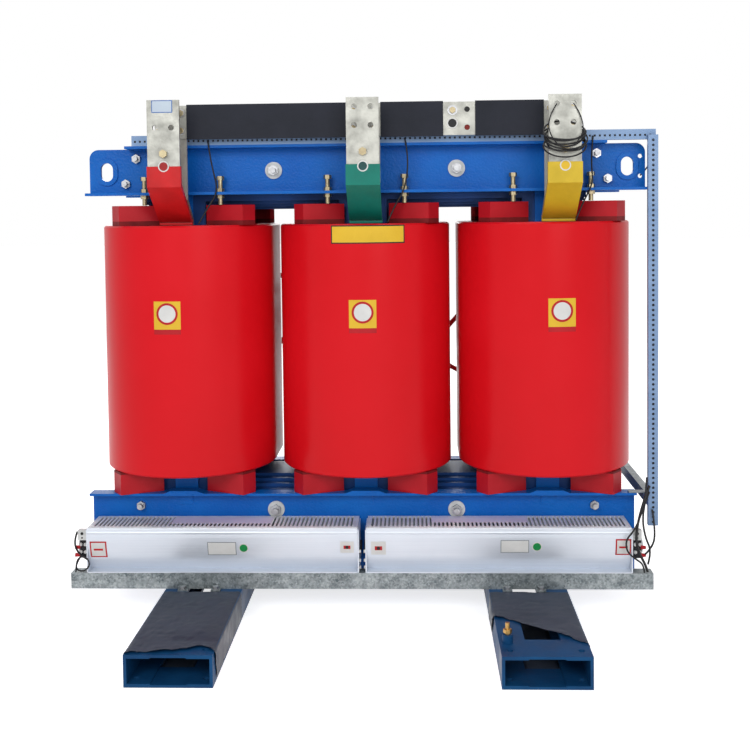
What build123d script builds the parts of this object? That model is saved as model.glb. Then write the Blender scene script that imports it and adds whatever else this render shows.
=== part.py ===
"""Dry type transformer: cast-resin coils on a stepped core, clamps, base beams, low-voltage bars and crossflow fans.

Millimetres, +Z up, +X along the row of coils, the low-voltage side faces -Y. The origin lies on the ground under the middle coil.
"""
from build123d import *
import math
import os

os.makedirs("parts", exist_ok=True)

# Driving dimensions
gauge = 820.0
coil_pitch = 476.0
coil_side = 227.0
coil_flat = 65.0
coil_low = 355.0
coil_high = 996.0
sheet_gap = 0.3
coil_centres = (-coil_pitch, 0.0, coil_pitch)
phases = ("left", "middle", "right")
sides = (-1, 1)

# Base beams
beam_width = 196.0
beam_height = 72.0
beam_half_length = 700.0
channel_flange = 58.0
channel_web = 7.0
channel_flange_t = 8.0
bridge_length = 92.0
bridge_t = 6.0
foot_hole_r = 7.0
foot_hole_x = 77.0
foot_hole_y = 668.0
earth_place = (331.0, -622.0)
earth_boss_h = 18.0

# Core: the steps share their depths, so limbs and yokes meet on every step
step_depths = (70.0, 100.0, 128.0, 160.0)
limb_halves = (103.0, 96.0, 84.0, 62.0)
yoke_halves = (100.0, 93.0, 86.0, 78.0)
low_yoke_z = 215.0
top_yoke_z = 1136.0
tie_width = 60.0
tie_t = 8.0

# Clamps
clamp_back = 172.0
clamp_t = 6.0
clamp_front = clamp_back + clamp_t
top_flange_tip = 225.0
top_clamp_x = (-714.0, 727.0)
top_clamp_z = (1074.5, 1201.0)
top_flange_t = 7.0
top_flange_half = 616.0
top_clamp_mid = sum(top_clamp_x) / 2
plate_top = 1195.0
lift_x = 674.0
lift_z = 1136.0
lift_half = (16.0, 24.0)
rim_half = (28.0, 35.0)
rim_t = 5.0
low_flange_tip = 212.0
low_clamp_x = (-724.0, 699.0)
low_clamp_z = (beam_height, 295.5)
yoke_bolt_r = 8.0
yoke_bolt_x = 237.0
washer_r = 22.0
washer_t = 5.0
end_bolt_r = 7.0

# Coils
hv_wall = 46.0
lv_side = 151.0
lv_wall = 37.0
tap_ridge = (130.0, 14.0)
ridge_margin = 24.0
tap_half = 40.0
tap_rows = (-60.0, 0.0, 60.0)

# Blocks between the coils and the clamps
pad_low_t = 6.0
pad_top_t = 12.0
top_block_h = 40.0
block_inner = 58.0
top_shift = 10.0
jack_r = 6.0
jack_x = 99.0
jack_y = 200.0
jack_head_z = 1122.0

# Low-voltage side
bar_width = 80.0
bar_t = 8.0
bar_x = (-481.0, 9.0, 501.0)
bar_front = 340.0
bar_top = 1306.0
bare_low = 1143.0
lead_bend_z = 1095.0
lead_foot = (209.0, 1004.0)
bar_hole_r = 7.0
bar_hole_dx = 40.0
bar_hole_dz = 45.0
bar_hole_z = 1260.5
bar_bolt_z = 1174.0
riser_t = 6.0
riser_front = 254.0
riser_bend_z = 1062.0
riser_foot = (186.0, 1010.0)
sleeve_t = 1.8
bus_z = (1216.0, 1299.0)
bus_t = 6.0
neutral_x = 248.0

# Fans: body ends in X, and the end that carries the motor
fan_spans = ((-708.0, -18.0, -1), (5.0, 670.0, 1))
fan_front = 291.0
fan_back = 183.7
fan_low = 113.0
fan_top = 229.0
fan_wall = 2.0
rail_z = 204.0
rail_depth = 10.0
rotor_r = 33.0
rotor_y = 228.0
rotor_z = 166.0
blade_count = 16
shaft_r = 5.0
bush_clearance = 0.05
plate_t = 3.0
motor_r = 29.0
slat_pitch = 10.6
slat_t = 2.2
angle_x = (-752.0, 724.0)
angle_t = 4.0
angle_leg = 38.0


def block(x_span, y_span, z_span):
    """A box from its limits along the three axes."""
    low = Vector(min(x_span), min(y_span), min(z_span))
    high = Vector(max(x_span), max(y_span), max(z_span))
    return Pos(*((low + high) * 0.5)) * Box(*(high - low))


def rod(start, end, radius):
    """A cylinder between two points."""
    a, b = Vector(*start), Vector(*end)
    return extrude(Plane(origin=a, z_dir=b - a) * Circle(radius), (b - a).length)


def hexagon(start, end, across):
    """A hexagonal bar between two points, measured across its flats."""
    a, b = Vector(*start), Vector(*end)
    return extrude(Plane(origin=a, z_dir=b - a) * RegularPolygon(across / math.sqrt(3), 6), (b - a).length)


def profile(points, x_span):
    """A closed outline in Y and Z drawn along X."""
    face = make_face(Polyline(*[(0, y, z) for y, z in points], close=True))
    return Pos(x_span[0], 0, 0) * extrude(face, x_span[1] - x_span[0], dir=(1, 0, 0))


def plan(points, z_span):
    """A closed outline in X and Y raised along Z."""
    return Pos(0, 0, z_span[0]) * extrude(make_face(Polyline(*points, close=True)), z_span[1] - z_span[0])


def racetrack(half_width, half_flat):
    """A slot with straight flanks along Y."""
    return Rot(0, 0, 90) * SlotCenterToCenter(2 * half_flat, 2 * half_width)


def turned(shape):
    """The same piece on the rear of the object."""
    return Rot(0, 0, 180) * shape


def mirrored(shape):
    """The same piece mirrored to the rear of the object."""
    return mirror(shape, Plane.XZ)


def save(name, shapes):
    """Write one node from a solid or a list of separate solids."""
    group = shapes if isinstance(shapes, list) else [shapes]
    solids = [solid for shape in group for solid in shape.solids()]
    shape = solids[0] if len(solids) == 1 else Compound(children=solids)
    export_step(shape, f"parts/{name}.step")
    print(name, len(solids), round(sum(solid.volume for solid in solids) / 1000, 1), "cm3")


# Base

def base_beam(side):
    """Two channels facing each other, joined top and bottom by welded plates at both ends."""
    x = side * gauge / 2
    shape = None
    for hand in sides:
        outer = x + hand * beam_width / 2
        inner = outer - hand * channel_flange
        length = (-beam_half_length, beam_half_length)
        bar = block((outer, inner), length, (0, beam_height))
        hollow = block((outer - hand * channel_web, inner - hand), length, (channel_flange_t, beam_height - channel_flange_t))
        bar -= hollow
        shape = bar if shape is None else shape + bar
    gap = beam_width / 2 - channel_flange
    for end in sides:
        y_span = (end * beam_half_length, end * (beam_half_length - bridge_length))
        for z in (0, beam_height - bridge_t):
            shape += block((x - gap, x + gap), y_span, (z, z + bridge_t))
        for hand in sides:
            centre = (x + hand * foot_hole_x, end * foot_hole_y)
            shape -= rod((*centre, -1), (*centre, beam_height + 1), foot_hole_r)
    if side > 0:
        shape += rod((*earth_place, beam_height - 1), (*earth_place, beam_height + earth_boss_h), 12)
    return shape


# Core

def yoke(centre_z, bolt_places):
    """Stepped packets of laminations lying along the row, bored for the clamp bolts."""
    half = coil_pitch + limb_halves[0]
    shape = None
    for depth, height in zip(step_depths, yoke_halves):
        packet = block((-half, half), (-depth, depth), (centre_z - height, centre_z + height))
        shape = packet if shape is None else shape + packet
    for x, z in bolt_places:
        shape -= rod((x, -clamp_back, z), (x, clamp_back, z), yoke_bolt_r + 0.5)
    return shape


def limb(x):
    """Stepped packets standing between the yokes."""
    inner = 0.0
    shape = None
    for depth, width, height in zip(step_depths, limb_halves, yoke_halves):
        z_span = (low_yoke_z + height, top_yoke_z - height)
        strips = [(-depth, depth)] if inner == 0 else [(-depth, -inner), (inner, depth)]
        for y_span in strips:
            packet = block((x - width, x + width), y_span, z_span)
            shape = packet if shape is None else shape + packet
        inner = depth
    return shape


def tie_plates(side):
    """Steel straps that tie the lower clamp to the upper one along every limb."""
    y = side * step_depths[-1]
    y_span = (y + side * sheet_gap, y + side * (sheet_gap + tie_t))
    z_span = (low_clamp_z[0] + 40, top_clamp_z[1] - 10)
    return [block((x - tie_width / 2, x + tie_width / 2), y_span, z_span) for x in coil_centres]


# Clamps

def upper_clamp():
    """Folded channel with a cut-back top flange, lifting holes with welded rims, and bolt holes."""
    low, high = top_clamp_z
    front = -clamp_front
    web = block(top_clamp_x, (-clamp_back, front), (low, plate_top))
    web = fillet(web.edges().filter_by(Axis.Y).group_by(Axis.Z)[-1], 24)
    shape = web + block(top_clamp_x, (front, -top_flange_tip), (low, low + top_flange_t))
    span = (top_clamp_mid - top_flange_half, top_clamp_mid + top_flange_half)
    shape += block(span, (-clamp_back, -top_flange_tip), (high - top_flange_t, high))
    face = Plane.XZ.offset(clamp_front)
    for hand in sides:
        x = top_clamp_mid + hand * lift_x
        place = Pos(x, lift_z, 0) * Rot(0, 0, 90)
        rim = extrude(face * place * SlotOverall(2 * rim_half[1], 2 * rim_half[0]), rim_t)
        hole = extrude(face * place * SlotOverall(2 * lift_half[1], 2 * lift_half[0]), 40, both=True)
        shape = shape + rim - hole
    for x, z in top_bolt_places():
        shape -= rod((x, -clamp_back + 5, z), (x, front - 5, z), yoke_bolt_r + 0.5)
    for x in jack_places():
        shape -= rod((x, -jack_y, low - 1), (x, -jack_y, low + top_flange_t + 1), jack_r + 0.5)
    for z in (lift_z - 25.5, lift_z + 25.5):
        x = top_clamp_x[1] - 13
        shape -= rod((x, -clamp_back + 5, z), (x, front - 5, z), 5.5)
    return shape


def lower_clamp():
    """Deep folded channel that stands on the base beams and carries the lower yoke and blocks."""
    low, high = low_clamp_z
    front = -clamp_front
    shape = block(low_clamp_x, (-clamp_back, front), (low, high))
    shape += block(low_clamp_x, (front, -low_flange_tip), (high - clamp_t, high))
    shape += block(low_clamp_x, (front, -low_flange_tip), (low, low + clamp_t))
    for x in coil_centres:
        bridge = Polyline((x - 52, 0, 0), (x + 52, 0, 0), (x + 34, 0, 7), (x - 34, 0, 7), close=True)
        shape += Pos(0, front, high) * extrude(make_face(bridge), low_flange_tip - clamp_front, dir=(0, -1, 0))
        tail = Polyline((x - 20, 0, -14), (x + 20, 0, -14), (x + 15, 0, 14), (x - 15, 0, 14), close=True)
        shape += Pos(0, front, high - 22) * extrude(make_face(tail), 2.5, dir=(0, -1, 0))
    for x, z in low_bolt_places():
        shape -= rod((x, -clamp_back + 5, z), (x, front - 5, z), yoke_bolt_r + 0.5)
    return shape


def top_bolt_places():
    """Yoke bolts between the coils, then the bolts beyond the yoke's ends."""
    middle = [(top_clamp_mid + side * yoke_bolt_x, top_yoke_z) for side in sides]
    ends = [(top_clamp_mid + side * x, z) for side in sides for x, z in ((596, 1170), (624, 1105))]
    return middle + ends


def low_bolt_places():
    """Lower yoke bolts, then the bolts beyond the yoke's ends."""
    return [(side * yoke_bolt_x, 246.0) for side in sides] + [(side * 595.0, 257.0) for side in sides]


def jack_places():
    """Two jacking bolts over every coil."""
    return [x + side * jack_x + top_shift for x in coil_centres for side in sides]


def bolt_washers():
    """White insulating washers under the yoke bolts' heads and nuts."""
    shapes = []
    for x, z in top_bolt_places()[:2] + low_bolt_places()[:2]:
        for side in sides:
            y = side * clamp_front
            ring = rod((x, y, z), (x, y + side * washer_t, z), washer_r)
            shapes.append(ring - rod((x, y - side, z), (x, y + side * (washer_t + 1), z), yoke_bolt_r + 0.3))
    return shapes


def clamp_bolts():
    """Through bolts with a head or nut on each side."""
    shapes = []
    middles = top_bolt_places()[:2] + low_bolt_places()[:2]
    for x, z in top_bolt_places() + low_bolt_places():
        seat = clamp_front + (washer_t if (x, z) in middles else 0)
        radius = yoke_bolt_r if (x, z) in middles else end_bolt_r
        bolt = rod((x, -seat - 14, z), (x, seat + 14, z), radius)
        for side in sides:
            bolt += hexagon((x, side * seat, z), (x, side * (seat + 10), z), 3 * radius)
        shapes.append(bolt)
    return shapes


# Coils

def hv_coil(x):
    """Cast outer coil of racetrack section with a ridge for the taps and two terminal bosses on the rear."""
    height = coil_high - coil_low
    ring = racetrack(coil_side, coil_flat) - racetrack(coil_side - hv_wall, coil_flat)
    shape = extrude(ring, height)
    rims = shape.edges().filter_by(GeomType.LINE, reverse=True) + shape.edges().filter_by(Axis.Y)
    shape = chamfer([edge for edge in rims if edge.bounding_box().size.Z < 1], 4)
    back = coil_side + coil_flat
    wide, deep = tap_ridge
    shape += block((-wide / 2, wide / 2), (back - 30, back + deep), (ridge_margin, height - ridge_margin))
    for z in (60, height - 60):
        shape += rod((0, back - 25, z), (0, back + 22, z), 24)
    return Pos(x, 0, coil_low) * shape


def lv_coil(x):
    """Foil-wound inner coil standing in the bore of the outer one."""
    ring = racetrack(lv_side, coil_flat) - racetrack(lv_side - lv_wall, coil_flat)
    return Pos(x, 0, coil_low) * extrude(ring, coil_high - coil_low)


# Blocks

def block_outline(hand):
    """Arrow-shaped plan of a support block, its sharp edge outwards."""
    points = ((block_inner, -180), (160, -228), (187, -193), (176, -181))
    return [(hand * x, y) for x, y in points]


def blocks(z_span, shift=0.0):
    """Four blocks to every coil, two at the front and two at the rear."""
    shapes = []
    for x in coil_centres:
        for hand in sides:
            front = Pos(x + shift, 0, 0) * plan(block_outline(hand), z_span)
            shapes += [front, mirrored(front)]
    return shapes


def jacking_bolts():
    """Zinc-plated bolts that press the upper blocks down from the clamp."""
    shapes = []
    foot = coil_high + pad_top_t + top_block_h + 2 * sheet_gap
    for x in jack_places():
        for side in sides:
            y = side * jack_y
            bolt = rod((x, y, foot), (x, y, jack_head_z), jack_r)
            shapes.append(bolt + hexagon((x, y, jack_head_z - 10), (x, y, jack_head_z), 18))
    return shapes


def jacking_nuts():
    """A nut above and a nut below the clamp's bottom flange on every jacking bolt."""
    shapes = []
    low, high = top_clamp_z[0], top_clamp_z[0] + top_flange_t
    for x in jack_places():
        for side in sides:
            y = side * jack_y
            for z_low, z_high in ((low - 9.2, low - 0.2), (high + 0.2, high + 9.2)):
                nut = hexagon((x, y, z_low), (x, y, z_high), 18)
                shapes.append(nut - rod((x, y, z_low - 1), (x, y, z_high + 1), jack_r + 0.05))
    return shapes


# Low-voltage side

def strip(x, width, thick, path):
    """A flat bar bent in Y and Z: the path is its centre line, given as distances in front of the core."""
    line = [Vector(0, -y, z) for y, z in path]
    left, right = [], []
    for index, point in enumerate(line):
        before = (point - line[index - 1]).normalized() if index else None
        after = (line[index + 1] - point).normalized() if index + 1 < len(line) else None
        along = before + after if before and after else (before or after)
        along = along.normalized()
        normal = Vector(0, -along.Z, along.Y)
        reach = thick / 2 / (normal.dot(Vector(0, -(before or after).Z, (before or after).Y)))
        left.append(point + normal * reach)
        right.append(point - normal * reach)
    outline = [(p.Y, p.Z) for p in left + right[::-1]]
    return profile(outline, (x - width / 2, x + width / 2))


def lead_path(front, thick, bend_z, foot):
    """Centre line of a lead from the coil's top forwards and up to its vertical run."""
    centre = front - thick / 2
    return [(foot[0], coil_high + sheet_gap), foot, (centre, bend_z)]


def lv_bar(x):
    """Phase bar: from the coil's top it slants forwards, then stands up with four terminal holes."""
    path = lead_path(bar_front, bar_t, lead_bend_z, lead_foot) + [(bar_front - bar_t / 2, bar_top)]
    shape = strip(x, bar_width, bar_t, path)
    for dx in (-bar_hole_dx / 2, bar_hole_dx / 2):
        for dz in (-bar_hole_dz / 2, bar_hole_dz / 2):
            z = bar_hole_z + dz
            shape -= rod((x + dx, -bar_front - 5, z), (x + dx, -bar_front + bar_t + 5, z), bar_hole_r)
    return shape - rod((x, -bar_front - 5, bar_bolt_z), (x, -bar_front + bar_t + 5, bar_bolt_z), 5.2)


def sleeve(x, width, thick, path):
    """Shrunk insulation round a bar, open at its top."""
    outer = strip(x, width + 2 * (sheet_gap + sleeve_t), thick + 2 * (sheet_gap + sleeve_t), path)
    return outer - strip(x, width + 2 * sheet_gap, thick + 2 * sheet_gap, path)


def lv_sleeve(x):
    """Coloured sleeve of a phase bar."""
    foot = (lead_foot[0], lead_foot[1])
    centre = bar_front - bar_t / 2
    start = (foot[0] + 8, foot[1] + 6)
    return sleeve(x, bar_width, bar_t, [start, (centre, lead_bend_z), (centre, bare_low)])


def riser(x):
    """Neutral lead of one coil, up to the bus bar behind the phase bar."""
    path = lead_path(riser_front, riser_t, riser_bend_z, riser_foot) + [(riser_front - riser_t / 2, bus_z[1])]
    shape = strip(x, bar_width, riser_t, path)
    return shape - rod((x, -riser_front - 5, bar_bolt_z), (x, -riser_front + riser_t + 5, bar_bolt_z), 5.2)


def spacers():
    """Insulators that hold each phase bar off its riser, and the riser off the clamp."""
    shapes = []
    for x in bar_x:
        spans = ((-bar_front + bar_t, -riser_front), (-riser_front + riser_t, -clamp_front))
        for low, high in spans:
            body = rod((x, low, bar_bolt_z), (x, high, bar_bolt_z), 12)
            for share in (0.33, 0.67):
                y = low + (high - low) * share
                body += rod((x, y - 3, bar_bolt_z), (x, y + 3, bar_bolt_z), 17)
            shapes.append(body)
    return shapes


def bar_bolts():
    """Hexagon-head bolts that hold the phase bars to their insulators."""
    shapes = []
    for x in bar_x:
        head = hexagon((x, -bar_front - 8, bar_bolt_z), (x, -bar_front, bar_bolt_z), 18)
        shapes.append(head + rod((x, -bar_front, bar_bolt_z), (x, -bar_front + bar_t, bar_bolt_z), 5))
    return shapes


def neutral_bus():
    """Bus bar in front of the three risers, with two terminal holes and a joint bolt hole."""
    ends = (bar_x[0] - bar_width / 2, bar_x[2] + bar_width / 2)
    y_span = (-riser_front, -riser_front - bus_t)
    shape = block(ends, y_span, bus_z)
    for z in (bus_z[0] + 19, bus_z[1] - 19):
        shape -= rod((neutral_x + 20, y_span[0] + 5, z), (neutral_x + 20, y_span[1] - 5, z), bar_hole_r)
    return shape


def neutral_sleeves():
    """Black sleeves over the bus bar between the risers, leaving the neutral terminal bare."""
    shapes = []
    mid = -riser_front - bus_t / 2
    spans = ((bar_x[0] + 42, bar_x[1] - 42), (bar_x[1] + 42, neutral_x - 40), (neutral_x + 40, bar_x[2] - 42))
    for span in spans:
        skin = sheet_gap + sleeve_t
        outer = block(span, (mid - bus_t / 2 - skin, mid + bus_t / 2 + skin), (bus_z[0] - skin, bus_z[1] + skin))
        inner = block((span[0] - 1, span[1] + 1), (mid - bus_t / 2 - sheet_gap, mid + bus_t / 2 + sheet_gap),
                      (bus_z[0] - sheet_gap, bus_z[1] + sheet_gap))
        shapes.append(outer - inner)
    return shapes


# Fans

def fan_housing(span):
    """Volute sheet from the top rail down to the bottom pan, with a plain rear wall."""
    front, back = -fan_front, -fan_back
    rail = block(span, (front, front + rail_depth), (rail_z, fan_top - 5))
    bead = rod((span[0], front + 3, fan_top - 4), (span[1], front + 3, fan_top - 4), 3)
    fold = rod((span[0], front + 3.5, rail_z + 12), (span[1], front + 3.5, rail_z + 12), 5)
    pan = block(span, (front, back), (fan_low, fan_low + fan_wall))
    wall = block(span, (back - fan_wall, back), (fan_low, fan_top - 5))
    outer = ThreePointArc((0, front, rail_z + 1), (0, front + 9, 158), (0, front + 34, fan_low + 1))
    inner = ThreePointArc((0, front + 36, fan_low + 1), (0, front + 11, 157.5), (0, front + 2, rail_z + 1))
    ends = [Line(outer @ 1, inner @ 0), Line(inner @ 1, outer @ 0)]
    volute = extrude(make_face([outer, ends[0], inner, ends[1]]), span[1] - span[0], dir=(1, 0, 0))
    return rail + bead + fold + pan + wall + Pos(span[0], 0, 0) * volute


def fan_guard(span):
    """Grille of slats across the outlet, between two long rails."""
    y_span = (-fan_front + 6.5, -fan_back - 1)
    low, high = fan_top - 5 + sheet_gap, fan_top
    edge = 8.0
    shape = block(span, y_span, (low, high))
    slots = int((span[1] - span[0] - 2 * edge) // slat_pitch)
    start = (span[0] + span[1] - slots * slat_pitch) / 2
    for index in range(slots):
        x = start + index * slat_pitch
        shape -= block((x + slat_t / 2, x + slat_pitch - slat_t / 2), (y_span[0] + 9, y_span[1] - 9), (low - 1, high + 1))
    return shape


def fan_plates(span):
    """End plates with the bush holes of the rotor's shaft."""
    shapes = []
    for end, away in ((span[0], -1), (span[1], 1)):
        x_span = (end + away * sheet_gap, end + away * (sheet_gap + plate_t))
        plate = block(x_span, (-fan_front + 2, -fan_back - 2), (fan_low, fan_top - 6))
        hole = rod((end - away * 5, -rotor_y, rotor_z), (end + away * 10, -rotor_y, rotor_z), shaft_r + bush_clearance)
        shapes.append(plate - hole)
    return shapes


def fan_rotor(span):
    """Crossflow rotor: blades set round its discs, and a shaft stub at each end."""
    low, high = span[0] + 12, span[1] - 12
    middle = (low + high) / 2
    shape = None
    for x in (low, middle - 1.5, high - 3):
        disc = rod((x, 0, 0), (x + 3, 0, 0), rotor_r)
        shape = disc if shape is None else shape + disc
    for index in range(blade_count):
        blade = block((low, high), (-0.8, 0.8), (rotor_r - 10, rotor_r - 1))
        blade = Pos(0, 0, rotor_r - 5) * Rot(28, 0, 0) * Pos(0, 0, 5 - rotor_r) * blade
        shape += Rot(index * 360 / blade_count, 0, 0) * blade
    reach = plate_t + 2
    ends = sorted((span[0] - reach, span[1] + reach))
    shape += rod((ends[0], 0, 0), (low + 1, 0, 0), shaft_r) + rod((high - 1, 0, 0), (ends[1], 0, 0), shaft_r)
    return Pos(0, -rotor_y, rotor_z) * shape


def fan_motor(span, motor_side):
    """Motor can outside one end plate, hollowed for the end of the shaft."""
    end = span[0] if motor_side < 0 else span[1]
    start = end + motor_side * (plate_t + 2 * sheet_gap)
    tip = start + motor_side * 34
    can = rod((start, -rotor_y, rotor_z), (tip, -rotor_y, rotor_z), motor_r)
    return can - rod((start - motor_side, -rotor_y, rotor_z), (start + motor_side * 8, -rotor_y, rotor_z), shaft_r + 1.5)


def fan_terminal(span, motor_side):
    """White terminal block beside the motor, on the end plate."""
    end = span[0] if motor_side < 0 else span[1]
    start = end + motor_side * (plate_t + 2 * sheet_gap)
    return block((start, start + motor_side * 22), (-fan_front + 4, -fan_front + 22), (196, 221))


def fan_angle():
    """Galvanised angle under the fans: one leg down in front, one leg back, and bolted feet."""
    low = beam_height
    front = -fan_front
    top = fan_low - sheet_gap
    shape = block(angle_x, (front, front + angle_t), (low, top))
    shape += block(angle_x, (front, front + angle_leg), (top - angle_t, top))
    for side in sides:
        for hand in sides:
            x = side * gauge / 2 + hand * 42 - 10
            shape += block((x - 12, x + 12), (front - 20, front), (low, low + angle_t))
    return shape


def angle_bolts():
    """Hexagon-head bolts on the angle's feet."""
    shapes = []
    z = beam_height + angle_t
    for side in sides:
        for hand in sides:
            x = side * gauge / 2 + hand * 42 - 10
            shapes.append(hexagon((x, -fan_front - 11, z), (x, -fan_front - 11, z + 7), 15))
    return shapes


# Wiring and small pieces

wire_rail_x = (-590.0, 744.0)
wire_rail_z = (top_clamp_z[1], top_clamp_z[1] + 26)
wire_rail_y = (-top_flange_tip, -top_flange_tip + 14)
post_x = (722.0, 747.0)
post_y = (-top_flange_tip - 14, -top_flange_tip)
post_z = (219.0, 1212.0)
perforation_pitch = 12.6
channel_t = 1.5


def wiring_rail():
    """Folded rail with a row of square holes, open to the rear."""
    shape = block(wire_rail_x, wire_rail_y, wire_rail_z)
    low, high = wire_rail_z
    inner_z = (low + channel_t, high - channel_t)
    shape -= block((wire_rail_x[0] - 1, wire_rail_x[1] + 1), (wire_rail_y[0] + channel_t, wire_rail_y[1] + 1), inner_z)
    count = int((wire_rail_x[1] - wire_rail_x[0]) // perforation_pitch)
    mid = (low + high) / 2 - 2
    for index in range(count):
        x = wire_rail_x[0] + (index + 0.5) * perforation_pitch + 3
        shape -= block((x - 2.6, x + 2.6), (wire_rail_y[0] - 1, wire_rail_y[0] + 3), (mid - 2.6, mid + 2.6))
    return shape


def wiring_post():
    """Perforated channel that brings the fan wires down."""
    shape = block(post_x, post_y, post_z)
    shape -= block((post_x[0] + channel_t, post_x[1] - channel_t), (post_y[0] + channel_t, post_y[1] + 1),
                   (post_z[0] - 1, post_z[1] + 1))
    count = int((post_z[1] - post_z[0]) // perforation_pitch)
    mid = sum(post_x) / 2
    for index in range(count):
        z = post_z[0] + (index + 0.5) * perforation_pitch + 3
        shape -= hexagon((mid, post_y[0] - 1, z), (mid, post_y[0] + 3, z), 6.6)
    return shape


def side_rail():
    """Rail from the post back to the rear clamp, hung from lugs that lie on both lower clamps."""
    high = low_clamp_z[1]
    x_span, z_span = (post_x[0], post_x[0] + 20), (high - 28, high)
    y_span = (post_y[1], low_flange_tip)
    shape = block(x_span, y_span, z_span)
    shape -= block((x_span[0] + channel_t, x_span[1] + 1), (y_span[0] - 1, y_span[1] + 1),
                   (z_span[0] + channel_t, z_span[1] - channel_t))
    for side in sides:
        y = side * (low_flange_tip - 12)
        shape += block((low_clamp_x[1] - 20, x_span[1]), (y - 10, y + 10), (high, high + 3))
    return shape


def earth_bolt():
    """Brass bolt and nut on the boss."""
    x, y = earth_place
    z = beam_height + earth_boss_h
    return rod((x, y, z), (x, y, z + 26), 5) + hexagon((x, y, z + 4), (x, y, z + 12), 17)


def film(side):
    """Remains of plastic film on a base beam, from the fan angle forwards to a torn edge."""
    x = side * gauge / 2
    half = beam_width / 2 + 1
    back = -fan_front - 24
    if side < 0:
        points = ((x - half, back), (x + half, back), (x + half, -676), (x + 30, -668), (x - 40, -680), (x - half, -672))
    else:
        points = ((x - half, back), (x + half, back), (x + half, -650), (x - 60, -505), (x - half, -524))
    return plan(points, (beam_height + sheet_gap, beam_height + sheet_gap + 0.8))


def cable_hank():
    """Outer shape of the hank of cable hung round the right bar."""
    ring = SlotCenterToCenter(60, 66) - SlotCenterToCenter(60, 36)
    shape = extrude(ring, 17, both=True)
    shape = chamfer(shape.edges().filter_by(lambda edge: edge.bounding_box().size.Z < 1), 5)
    return Pos(bar_x[2], -bar_front + bar_t / 2, 1214) * Rot(34, 0, 0) * shape


def delta_ends():
    """Terminal pairs joined in delta: rod centres in X, Z and distance behind the core."""
    low, high = coil_low + 60, coil_high - 60
    left, middle, right = coil_centres
    near, far = coil_side + coil_flat + 41, coil_side + coil_flat + 66
    return [((left, low), (middle, high), near), ((middle, low), (right, high), near), ((right, low), (left, high), far)]


def terminal_studs():
    """Brass studs of the high-voltage terminals, long enough for the delta rod on each."""
    shapes = []
    boss = coil_side + coil_flat + 22
    for start, end, y in delta_ends():
        for x, z in (start, end):
            shapes.append(rod((x, boss, z), (x, y + 14, z), 6))
            shapes.append(hexagon((x, y + 5, z), (x, y + 12, z), 18) - rod((x, y, z), (x, y + 20, z), 6.05))
    return shapes


def tap_studs():
    """Brass studs of the taps."""
    shapes = []
    face = coil_side + coil_flat + tap_ridge[1]
    mid = (coil_low + coil_high) / 2
    for x in coil_centres:
        for column in sides:
            for row in tap_rows:
                place = (x + column * tap_half, face, mid + row)
                shapes.append(rod(place, (place[0], face + 14, place[2]), 6))
    return shapes


def tap_links():
    """Brass links across the middle pair of tap studs."""
    shapes = []
    face = coil_side + coil_flat + tap_ridge[1]
    mid = (coil_low + coil_high) / 2
    for x in coil_centres:
        link = block((x - tap_half - 11, x + tap_half + 11), (face, face + 4), (mid - 10, mid + 10))
        for column in sides:
            stud = x + column * tap_half
            link -= rod((stud, face - 1, mid), (stud, face + 5, mid), 6.1)
        shapes.append(link)
    return shapes


def delta_rods():
    """Insulated rods with an eye at each end, set diagonally between the terminals."""
    shapes = []
    for start, end, y in delta_ends():
        a, b = Vector(start[0], y, start[1]), Vector(end[0], y, end[1])
        along = (b - a).normalized()
        shape = rod(tuple(a + along * 12), tuple(b - along * 12), 7)
        for eye in (a, b):
            shape += rod((eye.X, y - 4, eye.Z), (eye.X, y + 4, eye.Z), 15)
            shape -= rod((eye.X, y - 9, eye.Z), (eye.X, y + 9, eye.Z), 6.1)
        shapes.append(shape)
    return shapes


def wire(points, radius):
    """A tube along straight runs joined by equal arcs."""
    bends = []
    for before, corner, after in zip(points, points[1:], points[2:]):
        a, b = Vector(*corner) - Vector(*before), Vector(*after) - Vector(*corner)
        half_turn = math.radians(a.get_angle(b)) / 2
        bends.append(0.45 * min(a.length, b.length) / math.tan(half_turn))
    route = FilletPolyline(*points, radius=min(bends))
    tube = sweep(Plane(origin=route @ 0, z_dir=route % 0) * Circle(radius), path=route)
    print("wire bend", round(min(bends), 1), "volume ratio", round(tube.volume / (math.pi * radius**2 * route.length), 4))
    return tube


def wires():
    """Sensor wires from the rail down to the coils, and the fans' supply wires."""
    drop_y = -top_flange_tip - 6
    top, foot = top_clamp_z[1] + 11, coil_high + 3.5
    sensors = (
        ((-392, top), (-384, 1150), (-366, 1085), (-395, 1040), (-418, foot)),
        ((111, top), (121, 1165), (112, 1085), (82, 1038), (66, foot)),
        ((586, top), (580, 1155), (586, 1090), (560, 1045), (541, foot)),
    )
    shapes = []
    for route in sensors:
        points = [(x, drop_y if 1000 < z < 1200 else drop_y + (2 if z > 1100 else -7), z) for x, z in route]
        shapes.append(wire(points, 2))
    fans = (
        ((717, -245, 345), (713, -249, 290), (701, -266, 242), (706, -281, 200), (722, -277, 165), (716, -264, 128)),
        ((731, -243, 262), (735, -262, 214), (727, -271, 172), (703, -261, 146)),
        ((-737, -279, 216), (-744, -281, 196), (-744, -274, 170), (-732, -265, 148), (-716, -260, 136)),
    )
    return shapes + [wire(points, 2.5) for points in fans]


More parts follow.
